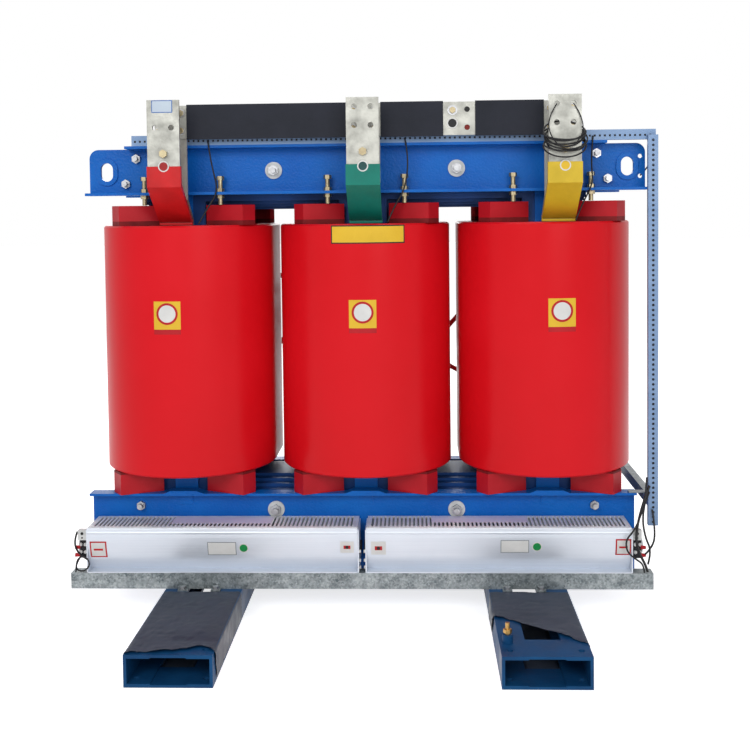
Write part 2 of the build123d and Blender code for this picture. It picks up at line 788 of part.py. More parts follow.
def build():
    """Write every node."""
    for name, side in (("left", -1), ("right", 1)):
        save(f"base_beam_{name}", base_beam(side))
        save(f"film_{name}", film(side))
    save("earth_bolt", earth_bolt())
    save("lower_yoke", yoke(low_yoke_z, low_bolt_places()[:2]))
    save("upper_yoke", yoke(top_yoke_z, top_bolt_places()[:2]))
    upper, lower = upper_clamp(), lower_clamp()
    save("upper_clamp_front", upper)
    save("upper_clamp_rear", mirrored(upper))
    save("lower_clamp_front", lower)
    save("lower_clamp_rear", mirrored(lower))
    save("tie_plates", tie_plates(-1) + tie_plates(1))
    save("bolt_washers", bolt_washers())
    save("clamp_bolts", clamp_bolts())
    for name, x, bar in zip(phases, coil_centres, bar_x):
        save(f"limb_{name}", limb(x))
        save(f"hv_coil_{name}", hv_coil(x))
        save(f"lv_coil_{name}", lv_coil(x))
        save(f"lv_bar_{name}", lv_bar(bar))
        save(f"lv_sleeve_{name}", lv_sleeve(bar))
    low_top = coil_low - pad_low_t
    save("lower_blocks", blocks((low_clamp_z[1] + sheet_gap, low_top)))
    pads = blocks((low_top, coil_low)) + blocks((coil_high, coil_high + pad_top_t), top_shift)
    save("block_pads", pads)
    save("upper_blocks", blocks((coil_high + pad_top_t, coil_high + pad_top_t + top_block_h), top_shift))
    save("jacking_bolts", jacking_bolts())
    save("jacking_nuts", jacking_nuts())
    save("bar_spacers", spacers())
    save("bar_bolts", bar_bolts())
    save("neutral_risers", [riser(x) for x in bar_x])
    save("neutral_bus", neutral_bus())
    save("neutral_sleeves", neutral_sleeves())
    save("tap_studs", tap_studs() + terminal_studs())
    save("tap_links", tap_links())
    save("delta_rods", delta_rods())
    save("wires", wires())
    save("cable_hank", cable_hank())
    save("wiring_rail", wiring_rail())
    save("wiring_post", wiring_post())
    save("side_rail", side_rail())
    faces = (("front", lambda shape: shape), ("rear", turned))
    for face, place in faces:
        save(f"fan_angle_{face}", place(fan_angle()))
        save(f"fan_housing_{face}", [place(fan_housing(fan[:2])) for fan in fan_spans])
        for fan in fan_spans:
            name = f"{face}_{'left' if fan[2] < 0 else 'right'}"
            save(f"fan_rotor_{name}", place(fan_rotor(fan[:2])))
    pairs = [(place, fan[:2], fan[2]) for face, place in faces for fan in fan_spans]
    save("angle_bolts", [place(bolt) for face, place in faces for bolt in angle_bolts()])
    save("fan_guards", [place(fan_guard(span)) for place, span, hand in pairs])
    save("fan_plates", [place(plate) for place, span, hand in pairs for plate in fan_plates(span)])
    save("fan_motors", [place(fan_motor(span, hand)) for place, span, hand in pairs])
    save("fan_terminals", [place(fan_terminal(span, hand)) for place, span, hand in pairs])


build()
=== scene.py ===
import bpy
import bmesh
import math
from mathutils import Matrix, Vector, noise


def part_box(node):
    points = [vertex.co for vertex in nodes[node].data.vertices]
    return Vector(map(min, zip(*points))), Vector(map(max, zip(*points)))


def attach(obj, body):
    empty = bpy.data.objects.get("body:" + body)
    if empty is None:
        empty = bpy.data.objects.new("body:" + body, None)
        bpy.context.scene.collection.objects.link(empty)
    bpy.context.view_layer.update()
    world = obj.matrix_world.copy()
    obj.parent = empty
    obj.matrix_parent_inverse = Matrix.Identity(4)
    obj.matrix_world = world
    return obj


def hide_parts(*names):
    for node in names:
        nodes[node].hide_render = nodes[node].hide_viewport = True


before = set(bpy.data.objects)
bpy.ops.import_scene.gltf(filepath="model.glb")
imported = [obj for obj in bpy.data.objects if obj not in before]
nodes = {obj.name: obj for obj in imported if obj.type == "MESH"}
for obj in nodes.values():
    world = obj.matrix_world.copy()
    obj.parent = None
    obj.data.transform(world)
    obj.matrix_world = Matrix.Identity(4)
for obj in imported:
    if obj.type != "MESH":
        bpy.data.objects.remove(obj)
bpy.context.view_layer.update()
print("frame loaded")


# shared node groups

def groupSocket(tree, name, kind, way, value=None):
    socket = tree.interface.new_socket(name, in_out=way, socket_type=kind)
    if value is not None:
        socket.default_value = value
    return socket


def makeGrainGroup():  # soft mottling between two limits, read from the object's own coordinates
    tree = bpy.data.node_groups.new("mottle", "ShaderNodeTree")
    groupSocket(tree, "Scale", "NodeSocketFloat", "INPUT", 8.0)
    groupSocket(tree, "Detail", "NodeSocketFloat", "INPUT", 6.0)
    groupSocket(tree, "Low", "NodeSocketFloat", "INPUT", 0.3)
    groupSocket(tree, "High", "NodeSocketFloat", "INPUT", 0.7)
    groupSocket(tree, "Mask", "NodeSocketFloat", "OUTPUT")
    start, end = tree.nodes.new("NodeGroupInput"), tree.nodes.new("NodeGroupOutput")
    coords = tree.nodes.new("ShaderNodeTexCoord")
    grain = tree.nodes.new("ShaderNodeTexNoise")
    limits = tree.nodes.new("ShaderNodeMapRange")
    tree.links.new(coords.outputs["Object"], grain.inputs["Vector"])
    tree.links.new(start.outputs["Scale"], grain.inputs["Scale"])
    tree.links.new(start.outputs["Detail"], grain.inputs["Detail"])
    tree.links.new(grain.outputs["Fac"], limits.inputs["Value"])
    tree.links.new(start.outputs["Low"], limits.inputs["From Min"])
    tree.links.new(start.outputs["High"], limits.inputs["From Max"])
    tree.links.new(limits.outputs["Result"], end.inputs["Mask"])
    return tree


def makeStreakGroup():  # long fine lines along X, as on rolled and drawn metal
    tree = bpy.data.node_groups.new("drawLines", "ShaderNodeTree")
    groupSocket(tree, "Fineness", "NodeSocketFloat", "INPUT", 900.0)
    groupSocket(tree, "Mask", "NodeSocketFloat", "OUTPUT")
    start, end = tree.nodes.new("NodeGroupInput"), tree.nodes.new("NodeGroupOutput")
    coords = tree.nodes.new("ShaderNodeTexCoord")
    stretch = tree.nodes.new("ShaderNodeMapping")
    stretch.inputs["Scale"].default_value = (0.004, 1.0, 1.0)
    grain = tree.nodes.new("ShaderNodeTexNoise")
    grain.inputs["Detail"].default_value = 3.0
    tree.links.new(coords.outputs["Object"], stretch.inputs["Vector"])
    tree.links.new(stretch.outputs["Vector"], grain.inputs["Vector"])
    tree.links.new(start.outputs["Fineness"], grain.inputs["Scale"])
    tree.links.new(grain.outputs["Fac"], end.inputs["Mask"])
    return tree


def makeSpangleGroup():  # patchwork of zinc crystals
    tree = bpy.data.node_groups.new("zincSpangle", "ShaderNodeTree")
    groupSocket(tree, "Scale", "NodeSocketFloat", "INPUT", 90.0)
    groupSocket(tree, "Mask", "NodeSocketFloat", "OUTPUT")
    start, end = tree.nodes.new("NodeGroupInput"), tree.nodes.new("NodeGroupOutput")
    coords = tree.nodes.new("ShaderNodeTexCoord")
    cells = tree.nodes.new("ShaderNodeTexVoronoi")
    toGrey = tree.nodes.new("ShaderNodeRGBToBW")
    tree.links.new(coords.outputs["Object"], cells.inputs["Vector"])
    tree.links.new(start.outputs["Scale"], cells.inputs["Scale"])
    tree.links.new(cells.outputs["Color"], toGrey.inputs["Color"])
    tree.links.new(toGrey.outputs["Val"], end.inputs["Mask"])
    return tree


mottle, drawLines, zincSpangle = makeGrainGroup(), makeStreakGroup(), makeSpangleGroup()


# materials

def finish(name, colour, second, rough, metal=0.0, coat=0.0, scale=9.0, roughShift=0.1, bump=0.0, bumpScale=60.0,
           group=None, groupScale=None, low=0.3, high=0.7, groupShare=1.0, specular=0.35, ior=1.4):
    mat = bpy.data.materials.new(name)
    mat.use_nodes = True
    tree = mat.node_tree
    links = tree.links
    shader = tree.nodes["Principled BSDF"]
    shader.inputs["Metallic"].default_value = metal
    shader.inputs["Coat Weight"].default_value = coat
    shader.inputs["Coat Roughness"].default_value = 0.12
    shader.inputs["Specular IOR Level"].default_value = specular
    shader.inputs["IOR"].default_value = ior
    patches = tree.nodes.new("ShaderNodeGroup")
    patches.node_tree = mottle
    patches.inputs["Scale"].default_value = scale
    patches.inputs["Low"].default_value = low
    patches.inputs["High"].default_value = high
    mask = patches.outputs["Mask"]
    if group:
        pattern = tree.nodes.new("ShaderNodeGroup")
        pattern.node_tree = group
        pattern.inputs[0].default_value = groupScale
        blendMasks = tree.nodes.new("ShaderNodeMix")
        blendMasks.inputs["Factor"].default_value = groupShare
        links.new(mask, blendMasks.inputs["A"])
        links.new(pattern.outputs["Mask"], blendMasks.inputs["B"])
        mask = blendMasks.outputs["Result"]
    tint = tree.nodes.new("ShaderNodeMix")
    tint.data_type = "RGBA"
    tint.inputs["A"].default_value = (*colour, 1)
    tint.inputs["B"].default_value = (*second, 1)
    links.new(mask, tint.inputs["Factor"])
    links.new(tint.outputs["Result"], shader.inputs["Base Color"])
    gloss = tree.nodes.new("ShaderNodeMapRange")
    gloss.inputs["To Min"].default_value = rough
    gloss.inputs["To Max"].default_value = rough + roughShift
    links.new(mask, gloss.inputs["Value"])
    links.new(gloss.outputs["Result"], shader.inputs["Roughness"])
    if bump:
        relief = tree.nodes.new("ShaderNodeGroup")
        relief.node_tree = mottle
        relief.inputs["Scale"].default_value = bumpScale
        bumpNode = tree.nodes.new("ShaderNodeBump")
        bumpNode.inputs["Strength"].default_value = bump
        bumpNode.inputs["Distance"].default_value = 0.002
        links.new(relief.outputs["Mask"], bumpNode.inputs["Height"])
        links.new(bumpNode.outputs["Normal"], shader.inputs["Normal"])
    return mat


coilResin = finish("coilResin", (0.66, 0.005, 0.01), (0.72, 0.008, 0.016), 0.27, scale=3, bump=0.04, bumpScale=6,
                   specular=0.4, ior=1.28)
blockResin = finish("blockResin", (0.5, 0.008, 0.018), (0.42, 0.007, 0.014), 0.4, scale=14, bump=0.08, bumpScale=40)
windingResin = finish("windingResin", (0.42, 0.012, 0.018), (0.3, 0.01, 0.012), 0.45, scale=20, bump=0.1)
clampPaint = finish("clampPaint", (0.002, 0.1, 0.44), (0.004, 0.14, 0.53), 0.26, scale=7, roughShift=0.12, bump=0.22,
                    bumpScale=170, specular=0.3, ior=1.35)
corePaint = finish("corePaint", (0.003, 0.035, 0.15), (0.006, 0.06, 0.25), 0.4, scale=30, group=drawLines, groupScale=1400,
                   groupShare=0.6, bump=0.1, bumpScale=200)
basePaint = finish("basePaint", (0.004, 0.04, 0.12), (0.008, 0.075, 0.2), 0.35, scale=12, roughShift=0.2, bump=0.1,
                   bumpScale=90, specular=0.25, ior=1.35)
filmPlastic = finish("filmPlastic", (0.026, 0.036, 0.058), (0.056, 0.07, 0.1), 0.28, scale=16, roughShift=0.25, bump=0.3,
                     bumpScale=28, specular=0.3, ior=1.3)
tinnedCopper = finish("tinnedCopper", (0.44, 0.44, 0.4), (0.27, 0.27, 0.245), 0.4, metal=0.55, scale=34, roughShift=0.2,
                      bump=0.12, bumpScale=190, low=0.35, high=0.75)
redSleeve = finish("redSleeve", (0.6, 0.012, 0.014), (0.46, 0.009, 0.01), 0.36, scale=18, bump=0.14, bumpScale=50)
greenSleeve = finish("greenSleeve", (0.003, 0.2, 0.15), (0.003, 0.16, 0.12), 0.36, scale=18, bump=0.14, bumpScale=50)
yellowSleeve = finish("yellowSleeve", (0.72, 0.5, 0.03), (0.58, 0.4, 0.022), 0.36, scale=18, bump=0.14, bumpScale=50)
blackSleeve = finish("blackSleeve", (0.009, 0.011, 0.018), (0.022, 0.024, 0.034), 0.42, scale=11, roughShift=0.2, bump=0.1,
                     bumpScale=70, specular=0.25, ior=1.35)
zincSteel = finish("zincSteel", (0.5, 0.51, 0.53), (0.3, 0.3, 0.31), 0.3, metal=0.85, scale=50)
yellowZinc = finish("yellowZinc", (0.42, 0.36, 0.22), (0.3, 0.24, 0.15), 0.28, metal=0.85, scale=60)
whiteNylon = finish("whiteNylon", (0.66, 0.67, 0.66), (0.52, 0.53, 0.52), 0.45, scale=60)
redInsulator = finish("redInsulator", (0.3, 0.012, 0.014), (0.22, 0.008, 0.01), 0.26, scale=20)
brassMetal = finish("brassMetal", (0.56, 0.36, 0.12), (0.4, 0.24, 0.08), 0.28, metal=0.9, scale=60)
spangledZinc = finish("spangledZinc", (0.05, 0.07, 0.08), (0.42, 0.46, 0.47), 0.3, metal=0.55, scale=40, roughShift=0.2,
                      group=zincSpangle, groupScale=230, groupShare=0.55, bump=0.05, bumpScale=150)
railZinc = finish("railZinc", (0.15, 0.24, 0.4), (0.23, 0.33, 0.5), 0.4, metal=0.25, scale=20, group=drawLines,
                  groupScale=600, groupShare=0.4, specular=0.3)
fanSheet = finish("fanSheet", (0.6, 0.65, 0.73), (0.78, 0.82, 0.88), 0.32, metal=0.3, scale=5, group=drawLines, groupScale=800,
                  groupShare=0.7, bump=0.02)
guardSheet = finish("guardSheet", (0.7, 0.71, 0.73), (0.84, 0.85, 0.86), 0.36, metal=0.2, scale=30)
rotorSheet = finish("rotorSheet", (0.16, 0.17, 0.18), (0.24, 0.25, 0.26), 0.45, metal=0.6, scale=30)
motorPaint = finish("motorPaint", (0.012, 0.012, 0.014), (0.025, 0.025, 0.03), 0.5, scale=40, bump=0.15, bumpScale=200)
cableSkin = finish("cableSkin", (0.008, 0.008, 0.009), (0.016, 0.016, 0.018), 0.4, scale=60)
padRubber = finish("padRubber", (0.2, 0.008, 0.01), (0.12, 0.006, 0.008), 0.6, scale=30, bump=0.1)
stickerYellow = finish("stickerYellow", (0.78, 0.5, 0.035), (0.72, 0.45, 0.03), 0.45, scale=20)
stickerWhite = finish("stickerWhite", (0.74, 0.74, 0.72), (0.66, 0.66, 0.64), 0.45, scale=30)
stickerRed = finish("stickerRed", (0.5, 0.012, 0.018), (0.42, 0.01, 0.016), 0.45, scale=20)
bannerViolet = finish("bannerViolet", (0.7, 0.67, 0.82), (0.64, 0.6, 0.76), 0.45, scale=20)
stickerGreen = finish("stickerGreen", (0.012, 0.28, 0.07), (0.01, 0.22, 0.06), 0.45, scale=20)
tagDark = finish("tagDark", (0.02, 0.08, 0.08), (0.015, 0.05, 0.05), 0.45, scale=20)
tagRed = finish("tagRed", (0.34, 0.02, 0.02), (0.28, 0.015, 0.015), 0.45, scale=20)
stickerBlue = finish("stickerBlue", (0.09, 0.2, 0.5), (0.07, 0.16, 0.42), 0.45, scale=20)
paleBlue = finish("paleBlue", (0.55, 0.64, 0.72), (0.5, 0.58, 0.68), 0.45, scale=20)
plateGrey = finish("plateGrey", (0.3, 0.33, 0.35), (0.24, 0.26, 0.28), 0.42, scale=24)
inkBlack = finish("inkBlack", (0.012, 0.012, 0.012), (0.02, 0.02, 0.02), 0.5, scale=20)
plugRed = finish("plugRed", (0.2, 0.015, 0.01), (0.14, 0.01, 0.008), 0.5, scale=20)

finishes = {
    "base_beam": basePaint, "film": filmPlastic, "upper_clamp": clampPaint, "lower_clamp": clampPaint, "tie_plates": clampPaint,
    "lower_yoke": corePaint, "upper_yoke": corePaint, "limb": corePaint, "hv_coil": coilResin, "lv_coil": windingResin,
    "lower_blocks": blockResin, "upper_blocks": blockResin, "block_pads": padRubber, "jacking": yellowZinc,
    "lv_bar": tinnedCopper, "neutral_bus": tinnedCopper, "neutral_risers": tinnedCopper, "lv_sleeve_left": redSleeve,
    "lv_sleeve_middle": greenSleeve, "lv_sleeve_right": yellowSleeve, "neutral_sleeves": blackSleeve,
    "bolt_washers": whiteNylon, "clamp_bolts": zincSteel, "bar_bolts": yellowZinc, "angle_bolts": zincSteel,
    "bar_spacers": redInsulator, "tap_studs": brassMetal, "tap_links": brassMetal, "earth_bolt": brassMetal,
    "delta_rods": redInsulator, "wires": cableSkin, "cable_hank": cableSkin, "wiring": railZinc, "side_rail": spangledZinc,
    "fan_angle": spangledZinc, "fan_housing": fanSheet, "fan_plates": fanSheet, "fan_guards": guardSheet,
    "fan_rotor": rotorSheet, "fan_motors": motorPaint, "fan_terminals": whiteNylon,
}


def dressNode(name, obj):
    keys = [key for key in finishes if name.startswith(key)]
    material = finishes[max(keys, key=len)]
    obj.data.materials.clear()
    obj.data.materials.append(material)


for name, obj in nodes.items():
    dressNode(name, obj)
print("materials set on", len(nodes), "nodes")


# helpers for new pieces

def middleX(name):
    low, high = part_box(name)
    return (low[0] + high[0]) / 2


def keepPiece(bm, name, material, body="frame", smooth=False):
    bmesh.ops.recalc_face_normals(bm, faces=bm.faces)
    mesh = bpy.data.meshes.new(name)
    bm.to_mesh(mesh)
    bm.free()
    if smooth:
        mesh.shade_smooth()
    obj = bpy.data.objects.new(name, mesh)
    bpy.context.scene.collection.objects.link(obj)
    mesh.materials.append(material)
    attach(obj, body)
    return obj


def thicken(bm, depth):  # a flat patch in X and Z gets a thickness towards +Y
    made = bmesh.ops.extrude_face_region(bm, geom=bm.faces[:])
    moved = [item for item in made["geom"] if isinstance(item, bmesh.types.BMVert)]
    bmesh.ops.translate(bm, vec=(0, depth, 0), verts=moved)


def flatPatch(width, height, corner=0.0, cuts=1):  # a rectangle standing in X and Z, facing -Y
    bm = bmesh.new()
    bmesh.ops.create_grid(bm, x_segments=cuts, y_segments=1, size=0.5)
    bmesh.ops.scale(bm, vec=(width, height, 1), verts=bm.verts)
    if corner:
        rims = [v for v in bm.verts if abs(abs(v.co.x) - width / 2) < 1e-6]
        bmesh.ops.bevel(bm, geom=rims, offset=corner, segments=3, profile=0.5, affect="VERTICES", material=-1)
    bmesh.ops.rotate(bm, cent=(0, 0, 0), matrix=Matrix.Rotation(math.radians(90), 3, "X"), verts=bm.verts)
    return bm


def discPatch(radius, inner=0.0, sides=48):  # a disc or a ring standing in X and Z
    bm = bmesh.new()
    bmesh.ops.create_circle(bm, cap_ends=not inner, radius=radius, segments=sides)
    if inner:
        made = bmesh.ops.extrude_edge_only(bm, edges=bm.edges[:])
        moved = [item for item in made["geom"] if isinstance(item, bmesh.types.BMVert)]
        bmesh.ops.scale(bm, vec=(inner / radius, inner / radius, 1), verts=moved)
    bmesh.ops.rotate(bm, cent=(0, 0, 0), matrix=Matrix.Rotation(math.radians(90), 3, "X"), verts=bm.verts)
    return bm


def cutStrips(bm, width, count):  # vertical cuts, so that a patch can follow a round surface
    for index in range(1, count):
        x = -width / 2 + width * index / count
        bmesh.ops.bisect_plane(bm, geom=bm.verts[:] + bm.edges[:] + bm.faces[:], plane_co=(x, 0, 0), plane_no=(1, 0, 0))


# stickers wrapped on the coils

coilSticker = {"radius": 0.227, "flat": 0.065, "side": 0.069, "height": 0.071, "disc": 0.0275, "ringWidth": 0.0055,
               "stripHeight": 0.0125, "thick": 0.0003, "middleZ": 0.7705, "discRise": 0.004, "strips": 10,
               "shifts": {"left": -0.0155, "middle": 0.002, "right": 0.023}}
layerGap = 0.6  # of a sticker's thickness, so that no layer lies in the surface under it


def wrapOnCoil(bm, centreX, x, z, lift):
    s = coilSticker
    for v in bm.verts:
        angle = (v.co.x + x) / s["radius"]
        reach = s["radius"] + lift - v.co.y
        v.co = Vector((centreX + reach * math.sin(angle), -s["flat"] - reach * math.cos(angle), v.co.z + z))


def addCoilSticker(key):
    s = coilSticker
    x, z, thick = s["shifts"][key], s["middleZ"], s["thick"]
    stripDrop = (s["height"] + s["stripHeight"]) / 2
    layers = (
        ("Square", flatPatch(s["side"], s["height"]), stickerYellow, 0, 1),
        ("Disc", discPatch(s["disc"]), stickerWhite, s["discRise"], 2),
        ("Ring", discPatch(s["disc"], s["disc"] - s["ringWidth"]), stickerRed, s["discRise"], 3),
        ("Strip", flatPatch(s["side"], s["stripHeight"]), stickerRed, -stripDrop, 1),
    )
    for part, bm, material, rise, layer in layers:
        cutStrips(bm, s["side"], s["strips"])
        thicken(bm, thick)
        wrapOnCoil(bm, middleX("hv_coil_" + key), x, z + rise, thick * (layer + layerGap))
        keepPiece(bm, f"sticker{part}_{key}", material)


for key in coilSticker["shifts"]:
    addCoilSticker(key)

coilBanner = {"width": 0.19, "height": 0.046, "x": 0.018, "z": 0.970, "border": 0.003, "thick": 0.0003, "strips": 16}


def addCoilBanner():
    b = coilBanner
    for layer, (shrink, material) in enumerate(((0, inkBlack), (b["border"], stickerYellow)), 1):
        bm = flatPatch(b["width"] - 2 * shrink, b["height"] - 2 * shrink)
        cutStrips(bm, b["width"], b["strips"])
        thicken(bm, b["thick"])
        wrapOnCoil(bm, middleX("hv_coil_middle"), b["x"], b["z"], b["thick"] * (layer + layerGap))
        keepPiece(bm, f"bannerLayer{layer}", material)


addCoilBanner()
print("coil stickers made")


# labels on the fans, laid on the curved front sheets

fanLabels = {  # X, Z, width or radius, height, and the kind of label
    "redSquareLeft": (-0.681, 0.1716, 0.043, 0.044, "framed"),
    "redSquareRight": (0.6495, 0.1786, 0.0385, 0.043, "framed"),
    "plateLeft": (-0.3635, 0.1743, 0.0736, 0.036, "plate"),
    "plateRight": (0.3783, 0.1804, 0.0713, 0.0344, "plate"),
    "smallLeft": (-0.0448, 0.1783, 0.035, 0.031, "bare"),
    "smallRight": (0.035, 0.1757, 0.0376, 0.036, "bare"),
    "tagLeft": (-0.308, 0.1757, 0.0126, 0.0, "tag"),
    "tagRight": (0.434, 0.1797, 0.0126, 0.0, "tag"),
}
labelForm = {"thick": 0.0003, "frame": 0.0035, "rim": 0.002, "gap": 0.8, "foldLimit": 0.012, "folds": 5}
voluteArc = {"top": (-0.291, 0.205), "middle": (-0.282, 0.158), "bottom": (-0.257, 0.114)}


def arcCentre(a, b, c):  # circle through three points of the volute's section
    ax, ay, bx, by, cx, cy = *a, *b, *c
    d = 2 * (ax * (by - cy) + bx * (cy - ay) + cx * (ay - by))
    ux = ((ax * ax + ay * ay) * (by - cy) + (bx * bx + by * by) * (cy - ay) + (cx * cx + cy * cy) * (ay - by)) / d
    uy = ((ax * ax + ay * ay) * (cx - bx) + (bx * bx + by * by) * (ax - cx) + (cx * cx + cy * cy) * (bx - ax)) / d
    return ux, uy, math.hypot(ax - ux, ay - uy)


def layOnVolute(bm, x, z, lift):
    uy, uz, radius = arcCentre(*voluteArc.values())
    tall = [e for e in bm.edges if abs(e.verts[0].co.z - e.verts[1].co.z) > labelForm["foldLimit"]]
    bmesh.ops.subdivide_edges(bm, edges=tall, cuts=labelForm["folds"])
    for v in bm.verts:
        height = v.co.z + z
        reach = radius + lift - v.co.y
        v.co = Vector((v.co.x + x, uy - math.sqrt(max(0, reach * reach - (height - uz) ** 2)), height))


def addFanLabel(name, spec):
    x, z, width, height, kind = spec
    thick, border, rim = labelForm["thick"], 2 * labelForm["frame"], 2 * labelForm["rim"]
    if kind == "tag":
        layers = [(discPatch(width), stickerWhite), (discPatch(width * 0.8), stickerGreen)]
    elif kind == "framed":
        layers = [(flatPatch(width, height), stickerRed), (flatPatch(width - border, height - border), stickerWhite),
                  (flatPatch(width * 0.55, height * 0.12), stickerRed)]
    elif kind == "plate":
        layers = [(flatPatch(width, height), plateGrey), (flatPatch(width - rim, height - rim), stickerWhite)]
    else:
        layers = [(flatPatch(width, height), stickerWhite), (flatPatch(width * 0.5, height * 0.3), stickerRed),
                  (discPatch(width * 0.12), inkBlack)]
    for layer, (bm, material) in enumerate(layers, 1):
        thicken(bm, thick)
        layOnVolute(bm, x, z, thick * (layer + labelForm["gap"]))
        keepPiece(bm, f"fanLabel_{name}_{layer}", material)


for name, spec in fanLabels.items():
    addFanLabel(name, spec)

guardBanners = {"left": (-0.371, -0.2275, 0.258, 0.055), "right": (0.2925, -0.2195, 0.245, 0.055)}
bannerForm = {"strips": 24, "thick": 0.0004, "lift": 0.0011}  # the lift lays it on the ribs


def addGuardBanner(side, spec):
    x, y, width, depth = spec
    bm = flatPatch(width, depth)
    cutStrips(bm, width, bannerForm["strips"])
    thicken(bm, bannerForm["thick"])
    bmesh.ops.rotate(bm, cent=(0, 0, 0), matrix=Matrix.Rotation(math.radians(-90), 3, "X"), verts=bm.verts)
    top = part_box("fan_guards")[1][2]
    bmesh.ops.translate(bm, vec=(x, y, top + bannerForm["lift"]), verts=bm.verts)
    keepPiece(bm, f"guardBanner_{side}", bannerViolet)


for side, spec in guardBanners.items():
    addGuardBanner(side, spec)
print("fan labels made")


# round tags, terminal stickers

barTags = {"left": (-0.481, 1.143, tagRed), "middle": (0.009, 1.1382, tagDark), "right": (0.501, 1.134, stickerYellow)}
tagForm = {"rim": 0.0135, "disc": 0.0105, "thick": 0.0004, "step": 0.0005}


def addTag(name, x, y, z, colour):
    for layer, (radius, material) in enumerate(((tagForm["rim"], stickerWhite), (tagForm["disc"], colour)), 1):
        bm = discPatch(radius)
        thicken(bm, tagForm["thick"])
        bmesh.ops.translate(bm, vec=(x, y - tagForm["step"] * layer, z), verts=bm.verts)
        keepPiece(bm, f"{name}_{layer}", material)


for key, (x, z, colour) in barTags.items():
    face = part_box("lv_bar_" + key)[0][1]
    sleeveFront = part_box("lv_sleeve_" + key)[0][1]
    addTag(f"phaseTag_{key}", x, min(face, sleeveFront), z, colour)
addTag("neutralTag", 0.231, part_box("neutral_bus")[0][1], 1.2458, inkBlack)


terminalSticker = {"x": -0.483, "z": 1.2899, "outer": (0.0515, 0.0305), "inner": (0.0475, 0.0265), "thick": 0.0003,
                   "step": 0.0004}


def addTerminalSticker():
    t = terminalSticker
    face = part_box("lv_bar_left")[0][1]
    for layer, (size, material) in enumerate(((t["outer"], stickerBlue), (t["inner"], paleBlue)), 1):
        bm = flatPatch(*size)
        thicken(bm, t["thick"])
        bmesh.ops.translate(bm, vec=(t["x"], face - t["step"] * layer, t["z"]), verts=bm.verts)
        keepPiece(bm, f"terminalSticker_{layer}", material)


addTerminalSticker()
print("tags made")


# plastic film, crinkled, hanging over the beams' sides and torn at its front edge

film = {"cell": 0.005, "crease": 0.0042, "fine": 0.0018, "drop": 0.064, "clear": 0.0009, "curl": 0.006, "reach": 0.02}
tears = {  # the torn edge of each film, from left to right across the beam, as X and Y
    "left": ((-0.509, -0.697), (-0.449, -0.694), (-0.408, -0.686), (-0.366, -0.675), (-0.346, -0.664), (-0.311, -0.684)),
    "right": ((0.311, -0.484), (0.325, -0.489), (0.347, -0.502), (0.409, -0.567), (0.451, -0.589), (0.509, -0.641)),
}


def tearAt(side, x):
    points = tears[side]
    for (x0, y0), (x1, y1) in zip(points, points[1:]):
        if x <= x1:
            share = max(0.0, (x - x0) / (x1 - x0))
            return y0 + (y1 - y0) * share
    return points[-1][1]


def addFilm(side):
    low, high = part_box("film_" + side)
    beamLow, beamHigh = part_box("base_beam_" + side)
    middle, half = (beamLow[0] + beamHigh[0]) / 2, (beamHigh[0] - beamLow[0]) / 2
    width, start, end = 2 * (half + film["drop"]), -0.7, high[1]
    bm = bmesh.new()
    bmesh.ops.create_grid(bm, x_segments=int(width / film["cell"]), y_segments=int((end - start) / film["cell"]), size=0.5)
    bmesh.ops.scale(bm, vec=(width, end - start, 1), verts=bm.verts)
    bmesh.ops.translate(bm, vec=(0, (start + end) / 2, 0), verts=bm.verts)

    def edge(v):
        x = middle + max(-half, min(half, v.co.x))
        over = max(0.0, abs(v.co.x) - half)
        return tearAt(side, x) + over * (0.25 if v.co.x > 0 else 1.1) + 0.007 * noise.noise(Vector((v.co.x * 45, 0, 7)))

    gaps = {v: v.co.y - edge(v) for v in bm.verts}
    bmesh.ops.delete(bm, geom=[v for v, gap in gaps.items() if gap < 0], context="VERTS")
    cutArea = sum(face.calc_area() for face in bm.faces)
    top = high[2] - 0.0006
    for v in bm.verts:
        across, along = v.co.x, v.co.y
        crease = abs(noise.noise(Vector((across * 14, along * 8, side == "left"))))
        fine = abs(noise.noise(Vector((across * 60, along * 34, 3))))
        over = abs(across) - half
        rise = film["crease"] * crease + film["fine"] * fine
        rise *= min(1.0, abs(over) / 0.008)
        rise += film["curl"] * math.exp(-gaps[v] / film["reach"]) * (0.3 + crease)
        if over < 0:
            v.co = Vector((middle + across, along, top + rise))
        else:
            v.co = Vector((middle + math.copysign(half + film["clear"] + 0.5 * rise, across), along, top - over))
    bmesh.ops.solidify(bm, geom=bm.faces[:], thickness=0.0004)
    piece = keepPiece(bm, f"plasticFilm_{side}", filmPlastic, smooth=True)
    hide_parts("film_" + side)
    print(f"film {side}: {width:.3f} by {end - start:.3f} m, {cutArea:.4f} m2")


# size and place of the dark floor sheet under each beam, painted shade for the shaded floor inside the channels
floorShadeSheet = {"half": 0.0399, "front": -0.6078, "back": -0.2, "low": 0.0003, "thick": 0.0004, "cell": 0.01}


def addFloorShadeSheet(side):  # a dark sheet on the floor under the two channels: painted shade for the shaded floor seen through them
    u = floorShadeSheet
    middle = middleX("base_beam_" + side)
    width, length = 2 * u["half"], u["back"] - u["front"]
    bm = bmesh.new()
    bmesh.ops.create_grid(bm, x_segments=int(width / u["cell"]), y_segments=int(length / u["cell"]), size=0.5)
    bmesh.ops.scale(bm, vec=(width, length, 1), verts=bm.verts)
    bmesh.ops.translate(bm, vec=(middle, (u["front"] + u["back"]) / 2, u["low"]), verts=bm.verts)
    for v in bm.verts:
        away = min(1.0, (u["half"] - abs(v.co.x - middle)) / 0.01)
        v.co.z += 0.0025 * max(0.0, away) * abs(noise.noise(Vector((v.co.x * 20, v.co.y * 9, 4))))
    bmesh.ops.solidify(bm, geom=bm.faces[:], thickness=-u["thick"])
    # the dark film finish on this floor sheet is painted shade, not a turn of the film
    piece = keepPiece(bm, f"floorShadeSheet_{side}", filmPlastic, smooth=True)


for side in tears:
    addFilm(side)
for side in tears:
    addFloorShadeSheet(side)
print("film made")


# small fasteners

